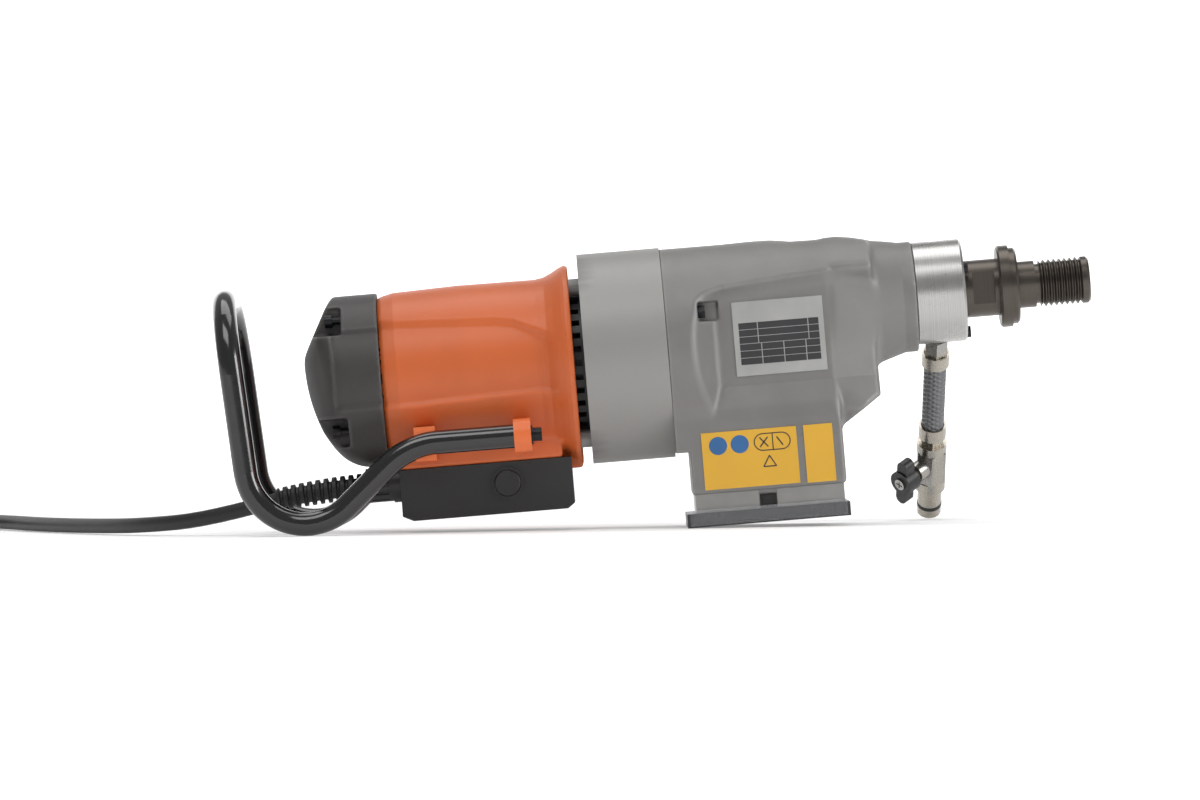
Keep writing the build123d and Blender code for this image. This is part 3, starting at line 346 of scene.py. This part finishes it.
# ---------------------------------------------------------------- cord
CORD_DIAMETER = 0.0104
RELIEF_END = (-23, -19, 23.5)
CORD_POINTS = [(-69, -17, 11.4), (-117, 26, 7.0), (-155, 97, 5.8), (-200, 198, 5.4),
               (-236, 298, 5.9), (-275, 403.5, 5.4)]
COIL_CENTRE = (-346.7, 377)
COIL_RADII = [76.5, 66.0, 55.5, 45.0]
COIL_IN, COIL_OUT = math.radians(20.3), math.radians(59.7)
LAYER = 10.7
COIL_FLOOR = 5.4
TURN_POINTS = 16
TAIL_POINTS = [(-351, 469.5, 11.6), (-401, 481, 6.0), (-448, 467, 5.4)]


def floor_point(x, y, z):
    """A point of the cord's route: x and y from the tool's origin, height above the floor."""
    return Vector((ORIGIN.x + x * MM, ORIGIN.y + y * MM, z * MM))


def coil_points():
    """Two layers of turns side by side: inwards on the floor, then outwards on top."""
    lanes = COIL_RADII + COIL_RADII[::-1]
    swell = 4 / (3 + math.cos(2 * math.pi / TURN_POINTS))
    total = len(lanes) * TURN_POINTS
    extra = round((COIL_OUT - COIL_IN) / (2 * math.pi) * TURN_POINTS)
    points = []
    for i in range(1, total + extra):
        angle = COIL_IN + 2 * math.pi * i / TURN_POINTS
        lane, share = divmod(i / TURN_POINTS, 1)
        lane = int(lane)
        now = lanes[min(lane, len(lanes) - 1)]
        after = lanes[min(lane + 1, len(lanes) - 1)]
        blend = min(1.0, max(0.0, (share - 0.72) / 0.28))
        blend = blend * blend * (3 - 2 * blend)
        radius = (now + (after - now) * blend) * swell
        climb = 0 if lane < 3 else (blend if lane == 3 else 1)
        points.append(floor_point(COIL_CENTRE[0] + radius * math.cos(angle),
                                  COIL_CENTRE[1] + radius * math.sin(angle),
                                  COIL_FLOOR + LAYER * climb))
    return points


def route_curve(name, points, diameter):
    """A smooth round cord along one NURBS spline."""
    data = bpy.data.curves.new(name, "CURVE")
    data.dimensions = "3D"
    data.bevel_depth = diameter / 2
    data.bevel_resolution = 6
    data.resolution_u = 6
    data.use_fill_caps = True
    spline = data.splines.new("NURBS")
    spline.points.add(len(points) - 1)
    for point, place in zip(spline.points, points):
        point.co = (*place, 1)
    spline.order_u = 3
    spline.use_endpoint_u = True
    made = bpy.data.objects.new(name, data)
    bpy.context.scene.collection.objects.link(made)
    return made


def spline_length(curve):
    """The length of a curve's own line."""
    copy = curve.data.copy()
    copy.bevel_depth = 0
    line = bpy.data.objects.new("measure", copy)
    mesh = bpy.data.meshes.new_from_object(line)
    places = [vertex.co.copy() for vertex in mesh.vertices]
    bpy.data.objects.remove(line)
    bpy.data.meshes.remove(mesh)
    bpy.data.curves.remove(copy)
    return sum((b - a).length for a, b in zip(places, places[1:]))


cord_route = [floor_point(*RELIEF_END)] + [floor_point(*point) for point in CORD_POINTS]
cord_route += coil_points() + [floor_point(*point) for point in TAIL_POINTS]
mains_cord = route_curve("mains_cord", cord_route, CORD_DIAMETER)
finish_piece(mains_cord, "black_rubber")
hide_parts("cord_run", "cord_coil", "cord_tail")
CORD_LENGTH = spline_length(mains_cord)

# ---------------------------------------------------------------- castings, as smooth solids
# Each casting is a field in tool axes, below zero inside the metal, meshed where it is zero.
def blend_min(one, other, soft):
    share = np.clip(0.5 + 0.5 * (other - one) / soft, 0, 1)
    return other + (one - other) * share - soft * share * (1 - share)


def blend_max(one, other, soft):
    return -blend_min(-one, -other, soft)


def drum_field(a, y, h, back, front, radius, y_centre, h_centre, soft=1.0):
    ends = np.maximum(back - a, a - front)
    return blend_max(np.hypot(y - y_centre, h - h_centre) - radius, ends, soft)


def box_field(a, y, h, lows, highs, soft=1.0):
    """A box whose edges are rounded."""
    gaps = [np.maximum(low - at, at - high) for at, low, high in zip((a, y, h), lows, highs)]
    return blend_max(blend_max(gaps[0], gaps[1], soft), gaps[2], soft)


def ramp_share(value, start, end):
    share = np.clip((value - start) / (end - start), 0, 1)
    return share * share * (3 - 2 * share)


def line_at(a, points):
    """The height of a line through points, at a."""
    return np.interp(a, [point[0] for point in points], [point[1] for point in points])


def field_slope(field, points, step=0.3):
    slopes = []
    for axis in range(3):
        offset = np.zeros(3)
        offset[axis] = step
        ahead, behind = points + offset, points - offset
        slopes.append((field(*ahead.T) - field(*behind.T)) / (2 * step))
    return np.stack(slopes, 1)


def casting(name, field, low, high, pitch):
    """Meshes the zero level of a field with surface nets, then moves each point onto it."""
    axes = [np.arange(low[i], high[i] + pitch, pitch) for i in range(3)]
    values = field(*np.meshgrid(*axes, indexing="ij"))
    inside = values < 0
    cells = tuple(size - 1 for size in values.shape)
    totals, hits = np.zeros((*cells, 3)), np.zeros(cells)
    crossings = []
    for axis in range(3):
        first = [slice(None)] * 3
        second = [slice(None)] * 3
        first[axis], second[axis] = slice(0, -1), slice(1, None)
        start, end = values[tuple(first)], values[tuple(second)]
        cross = inside[tuple(first)] != inside[tuple(second)]
        where = np.argwhere(cross)
        share = (start[cross] / (start[cross] - end[cross]))
        places = where.astype(float)
        places[:, axis] += share
        sides = [other for other in range(3) if other != axis]
        ring = []
        for back_one, back_two in ((0, 0), (1, 0), (1, 1), (0, 1)):
            cell = where.copy()
            cell[:, sides[0]] -= back_one
            cell[:, sides[1]] -= back_two
            ring.append(cell)
        good = np.all([np.all((cell >= 0) & (cell < cells), axis=1) for cell in ring], axis=0)
        for cell in ring:
            index = tuple(cell[good].T)
            np.add.at(totals, index, places[good])
            np.add.at(hits, index, 1)
        starts_inside = inside[tuple(first)][cross][good]
        crossings.append((axis, [cell[good] for cell in ring], starts_inside))
    used = hits > 0
    numbers = -np.ones(cells, dtype=int)
    numbers[used] = np.arange(used.sum())
    points = totals[used] / hits[used][:, None] * pitch + np.array(low)
    for _ in range(3):
        slope = field_slope(field, points)
        step = (field(*points.T) / np.maximum((slope ** 2).sum(1), 0.05))[:, None] * slope
        size = np.linalg.norm(step, axis=1, keepdims=True)
        points -= step * np.minimum(1, 0.4 * pitch / np.maximum(size, 1e-9))
    faces = []
    for axis, ring, starts_inside in crossings:
        quads = np.stack([numbers[tuple(cell.T)] for cell in ring], 1)
        flip = starts_inside if axis == 1 else ~starts_inside
        quads[flip] = quads[flip][:, ::-1]
        faces += quads.tolist()
    normals = field_slope(field, points) @ (AXES / MM)
    normals /= np.maximum(np.linalg.norm(normals, axis=1, keepdims=True), 1e-9)
    return new_piece(name, placed(points), faces, normals)


NOSE_AXIS_H, NOSE_R, NOSE_BACK, NOSE_END = 26.5, 37.4, 366.0, 413.6
CASE_TOP = [(243, 72.9), (285, 72.8), (306, 73.6), (318, 73.2), (332, 70.6), (346, 70.3),
            (363, 70.9), (373.5, 69.4), (387, 66.2), (407, 64), (416, 64)]
RIDGE = [(262, 26), (269.9, 30), (282.5, 35), (330, 42), (366, 46)]


def gearcase_field(a, y, h):
    side = np.abs(y)
    body = blend_min(
        np.hypot(y, h - 2.5) - 71.3,
        box_field(a, y, h, (200, -58, -95), (356.5, 58, -20), 4.0),
        5.0,
    )
    lower = np.maximum(np.maximum(a - 384, 0.565 * (a - 381) - 0.825 * (h + 40)), side - 52)
    body = blend_max(body, blend_min(a - 356.5, lower, 3.0), 3.0)
    body = blend_max(body, h - line_at(a, CASE_TOP), 3.0)
    body = blend_max(body, side - 73 + np.clip(a - 258, 0, None) * 0.115, 4.0)
    body = np.maximum(body, np.minimum(252.5 - a, -66 - h))
    floor = 50 - 0.36 * np.clip(a - 352, 0, None) + 0.41 * np.clip(-24 - h, 0, 40)
    floor = np.minimum(floor, 60)
    recess = blend_max(floor - side, 276 - (side - 50) * 0.72 - a, 3.5)
    top_wall = h - line_at(a, RIDGE) - (side - 50) * 0.9
    recess = blend_max(recess, top_wall, 7.0)
    recess = np.maximum(recess, -58 - h)
    body = blend_max(body, -recess, 4.0)
    reach = np.clip((a - NOSE_BACK) / (405 - NOSE_BACK), -1.2, 1)
    cone = (np.hypot(y, h - 23.8 - 2.7 * reach) - 47 + 9.6 * reach) * 0.97
    body = blend_min(body, blend_max(cone, 357 - a, 4.0), 6.0)
    body = np.maximum(body, h - line_at(a, CASE_TOP) - 0.3)
    body = np.maximum(body, np.maximum(243 - a, a - NOSE_END))
    body = np.maximum(body, -95 - h)
    pocket = blend_max(np.abs(h - 27.5) - 6.4, 48.6 - side, 2.0)
    pocket = blend_max(pocket, np.maximum(265 - a, a - 279), 1.5)
    body = blend_max(body, -pocket, 1.2)
    inner = np.maximum(np.hypot(y, h - 5) - 53.5, a - 259)
    space = np.minimum(np.hypot(y, h - 28.4) - 36.5, np.hypot(y - 26.93, h + 1.99) - 18)
    space = np.minimum(space, np.hypot(y, h - 5) - 43)
    inner = np.minimum(inner, np.maximum(space, a - 303))
    inner = np.minimum(inner, np.maximum(np.hypot(y, h - 28.4) - 19.4, a - 314))
    inner = np.minimum(inner, drum_field(a, y, h, 313, 378, 38.5, 0, 20))
    inner = np.minimum(inner, np.maximum(np.hypot(y, h - 28.4) - 26.3, 378 - a))
    inner = np.minimum(inner, box_field(a, y, h, (285, -48, -120), (325, 48, -45)))
    return np.maximum(body, -inner)


gearcase = casting("gearcase_casting", gearcase_field, (240.1, -74, -97.1), (416, 74, 78), 1.5)
finish_piece(gearcase, "cast_aluminium")
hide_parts("gearcase")

HOUSING_PROFILE = [(49.5, 54.6), (52, 56.2), (60.4, 58.2), (104, 59.6), (157, 59.2), (163, 60.2),
                   (168, 62.4), (174, 65.8), (177, 67.1), (180, 66.6)]
PANEL_TOP = [(49, 41), (128, 37), (141, 35), (161, 25), (172, 19)]
PANEL_BOTTOM = [(49, -20.5), (156, -16.5), (172, -19)]


def housing_field(a, y, h):
    side = np.abs(y)
    depth = ramp_share(line_at(a, PANEL_TOP) - h, 0, 8.5)
    depth = depth * ramp_share(h - line_at(a, PANEL_BOTTOM), -1, 4)
    depth = depth * ramp_share(170 - a, 0, 10)
    radius = line_at(a, HOUSING_PROFILE) - 3.3 * depth * (side > 15)
    body = blend_max(np.hypot(y, h) - radius, np.maximum(49.5 - a, a - 180), 1.0)
    pad = box_field(a, y, h, (56, -36, -62.2), (167, 36, -42), 2.5)
    lug = box_field(a, y, h, (165.5, -20, -70.4), (180, 20, -50), 2.0)
    body = blend_min(body, blend_min(pad, lug, 3.0), 3.0)
    return blend_max(body, 50.2 - np.hypot(y, h), 0.4)


housing = casting("motor_shell", housing_field, (47.1, -69, -72.1), (182, 69, 69), 1.35)
finish_piece(housing, "orange_plastic")
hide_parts("motor_housing")


def cover_field(a, y, h):
    side = np.abs(y)
    round_out = np.hypot(y, h)
    panel = ramp_share(36 - h, 0, 4) * ramp_share(h + 20, 0, 6) * ramp_share(a, 17, 20)
    body = blend_max(round_out - 58.8 + 2.4 * panel * (side > 15), -2.5 - a, 5.0)
    body = blend_max(body, -0.884 * (a - 18) + 0.467 * (h - 57.2), 2.5)
    body = blend_max(body, -0.863 * (a + 2) - 0.505 * (h + 18), 16.0)
    body = blend_max(body, -0.80 * (a + 2) + 0.60 * (side - 33), 9.0)
    body = np.maximum(body, a - 49.5)
    pockets = np.minimum(
        box_field(a, side, h, (-20, 27, 32), (25, 80, 51), 3.0),
        box_field(a, side, h, (-20, 33, -43.5), (25, 80, -24), 3.0),
    )
    hollow = np.maximum(np.maximum(round_out - 53.5, 11.5 - a), 2.2 - pockets)
    hollow = np.maximum(hollow, body + 3.0)
    return np.maximum(blend_max(body, -pockets, 1.5), -hollow)


cover = casting("rear_cap", cover_field, (-5.1, -61, -61), (51, 61, 61), 1.35)
finish_piece(cover, "dark_plastic")
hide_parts("rear_cover")

# ---------------------------------------------------------------- crisp CAD parts keep their mesh
for node_name, width_mm in (
    ("gearbox_flange", 1.2), ("gearbox_ring", 0.8), ("electronics_box", 1.6),
    ("mounting_plate", 0.5), ("foot_strip", 0.5), ("handle_brackets", 0.7),
    ("handle_clamps", 0.6), ("valve_body", 0.4), ("lower_ferrule", 0.5), ("upper_ferrule", 0.5),
    ("valve_knob", 0.8), ("cable_gland", 0.5), ("plate_guard", 0.3), ("power_plug", 1.0),
):
    rounding = frame["nodes"][node_name].modifiers.new("rounding", "BEVEL")
    rounding.width = width_mm * MM
    rounding.segments = 2
    rounding.limit_method = "ANGLE"
    rounding.angle_limit = math.radians(32)
    rounding.harden_normals = False


# ---------------------------------------------------------------- water hose and strain relief
def tube_frame(points):
    """A side and an up vector at each point of a path, turned as little as possible."""
    ways = [(after - before).normalized()
            for before, after in zip([points[0]] + points[:-1], points[1:] + [points[-1]])]
    side = ways[0].orthogonal().normalized()
    frames = []
    for way in ways:
        side = (side - way * side.dot(way)).normalized()
        frames.append((side, way.cross(side)))
    return frames


def tube_piece(name, points, radius_at, around):
    """A closed tube along points; radius_at(ring, turn share) gives each point's radius in mm."""
    frames = tube_frame(points)
    places, faces = [], []
    for ring, (centre, (side, up)) in enumerate(zip(points, frames)):
        for step in range(around):
            turn = 2 * math.pi * step / around
            reach = radius_at(ring, step / around) * MM
            places.append(centre + (side * math.cos(turn) + up * math.sin(turn)) * reach)
    for ring in range(len(points) - 1):
        for step in range(around):
            start, after = ring * around + step, ring * around + (step + 1) % around
            faces.append((start, after, after + around, start + around))
    faces.append(tuple(range(around))[::-1])
    faces.append(tuple(range((len(points) - 1) * around, len(points) * around)))
    return new_piece(name, places, faces)


def ring_piece(name, back, front, bore, radius, sides=72):
    """A plain ring round the motor axis."""
    rim, faces = [], []
    for step in range(sides):
        turn = 2 * math.pi * step / sides
        for a, reach in ((back, bore), (back, radius), (front, radius), (front, bore)):
            rim.append((a, reach * math.cos(turn), reach * math.sin(turn)))
        after = (step + 1) % sides
        for i in range(4):
            ahead = (i + 1) % 4
            faces.append((4 * step + i, 4 * after + i, 4 * after + ahead, 4 * step + ahead))
    return new_piece(name, placed(rim), faces, smooth=False)


finish_piece(ring_piece("vent_liner", 180.2, 186.8, 43.0, 45.5), "black_plastic")
port_way = Vector(mounts["hose_nipple"]["axis"])
port_start = spot(430.5, 0, SPINDLE_RISE)
HOSE_START, HOSE_END, HOSE_R = 54.2, 128.8, 7.3
HOSE_RINGS, HOSE_AROUND, BRAID_STRANDS, BRAID_TURNS = 300, 96, 8, 2.4


def braid_radius(ring, turn):
    along = ring / (HOSE_RINGS - 1) * BRAID_TURNS
    one = math.cos(2 * math.pi * BRAID_STRANDS * (turn + along))
    other = math.cos(2 * math.pi * BRAID_STRANDS * (turn - along))
    return HOSE_R + 0.45 * max(one, other)


hose_line = [
    port_start + port_way * (HOSE_START + (HOSE_END - HOSE_START) * i / (HOSE_RINGS - 1)) * MM
    for i in range(HOSE_RINGS)
]
hose = tube_piece("braided_sleeve", hose_line, braid_radius, HOSE_AROUND)
finish_piece(hose, "braid")
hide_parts("braided_hose")

RELIEF_STEPS, RELIEF_RIBS = 220, 11


def relief_radius(ring, turn):
    share = ring / (RELIEF_STEPS - 1)
    slant = share * RELIEF_RIBS + 0.5 * turn
    rib = ramp_share(abs((slant % 1) - 0.5), 0.16, 0.26)
    tip = 1 - ramp_share(share, 0.97, 1.0) * 0.12
    return (5.9 + (2.9 - 0.9 * share) * float(rib)) * tip


relief_start, relief_bend = spot(33, -20, -71), spot(2, -20, -71)
relief_end = floor_point(*RELIEF_END)
relief_line = []
for i in range(RELIEF_STEPS):
    share = i / (RELIEF_STEPS - 1)
    relief_line.append(relief_start * (1 - share) ** 2 + relief_bend * 2 * share * (1 - share)
                       + relief_end * share ** 2)
relief = tube_piece("ribbed_relief", relief_line, relief_radius, 48)
finish_piece(relief, "black_rubber")
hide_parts("strain_relief")


# ---------------------------------------------------------------- prints on the plates
def slab(points, faces, low, high):
    """Adds a small block between two tool points to a list of points and faces."""
    start = len(points)
    for a in (low[0], high[0]):
        for y in (low[1], high[1]):
            for h in (low[2], high[2]):
                points.append((a, y, h))
    for face in ((0, 1, 3, 2), (4, 6, 7, 5), (0, 4, 5, 1), (2, 3, 7, 6), (0, 2, 6, 4),
                 (1, 5, 7, 3)):
        faces.append(tuple(start + corner for corner in face))


def rod_between(points, faces, first, second, width, y0, y1):
    """Adds a thin straight bar on a plate, from one (a, h) point to another."""
    way = np.array(second, float) - np.array(first, float)
    way /= np.linalg.norm(way)
    across_way = np.array([-way[1], way[0]]) * width / 2
    corners = [first - across_way, second - across_way, second + across_way, first + across_way]
    start = len(points)
    for y in (y0, y1):
        for corner in corners:
            points.append((corner[0], y, corner[1]))
    faces.append(tuple(start + i for i in range(4)))
    faces.append(tuple(start + 4 + i for i in range(4))[::-1])
    for i in range(4):
        after = (i + 1) % 4
        faces.append((start + i, start + 4 + i, start + 4 + after, start + after))


def disc_on(points, faces, centre, radius, y0, y1, sides=36):
    start = len(points)
    for y in (y0, y1):
        for i in range(sides):
            turn = 2 * math.pi * i / sides
            points.append((centre[0] + radius * math.cos(turn), y,
                           centre[1] + radius * math.sin(turn)))
    faces.append(tuple(start + i for i in range(sides)))
    faces.append(tuple(start + sides + i for i in range(sides))[::-1])
    for i in range(sides):
        after = (i + 1) % sides
        faces.append((start + i, start + sides + i, start + sides + after, start + after))


PLATE_FACE = -50.6
cells, cell_faces = [], []
for row in range(6):
    top = 17.6 - row * 4.75
    if row < 3:
        splits = [291.5, 304.6, 338.6, 346.0]
    else:
        splits = [291.5, 306.4, 321.3, 336.2, 346.0]
    for left, after in zip(splits, splits[1:]):
        slab(cells, cell_faces, (left + 0.3, PLATE_FACE - 0.12, top - 4.35),
             (after - 0.3, PLATE_FACE + 0.1, top))
plate_cells = new_piece("plate_cells", placed(cells), cell_faces, smooth=False)
finish_piece(plate_cells, "plate_print", "cell_ink")

LABEL_FACE = -58.4
ink, ink_faces = [], []
for start, end in (((301.4, -57.4), (314.4, -57.4)), ((301.4, -68.6), (314.4, -68.6)),
                   ((308.2, -57.4), (308.2, -68.6))):
    rod_between(ink, ink_faces, np.array(start), np.array(end), 0.7,
                LABEL_FACE - 0.12, LABEL_FACE + 0.1)
for centre, begin in (((301.4, -63), math.pi / 2), ((314.4, -63), -math.pi / 2)):
    arc = [np.array([centre[0] + 5.6 * math.cos(begin + math.pi * i / 10),
                     centre[1] + 5.6 * math.sin(begin + math.pi * i / 10)]) for i in range(11)]
    for first, second in zip(arc, arc[1:]):
        rod_between(ink, ink_faces, first, second, 0.7, LABEL_FACE - 0.12, LABEL_FACE + 0.1)
triangle = [np.array(point) for point in ((301, -79.5), (309.5, -79.5), (305.2, -72.2))]
for first, second in zip(triangle, triangle[1:] + triangle[:1]):
    rod_between(ink, ink_faces, first, second, 0.8, LABEL_FACE - 0.12, LABEL_FACE + 0.1)
for first, second in (((299.5, -59.8), (305, -66.2)), ((305, -59.8), (299.5, -66.2)),
                      ((311, -60), (315, -66))):
    rod_between(ink, ink_faces, np.array(first), np.array(second), 0.9,
                LABEL_FACE - 0.12, LABEL_FACE + 0.1)
label_ink = new_piece("label_ink", placed(ink), ink_faces, smooth=False)
finish_piece(label_ink, "label_print", "cell_ink")
blue, blue_faces = [], []
for centre in ((271.4, -63.2), (286.0, -63.2)):
    disc_on(blue, blue_faces, centre, 6.1, LABEL_FACE - 0.12, LABEL_FACE + 0.1)
label_discs = new_piece("label_discs", placed(blue), blue_faces, smooth=False)
finish_piece(label_discs, "label_print", "blue_ink")
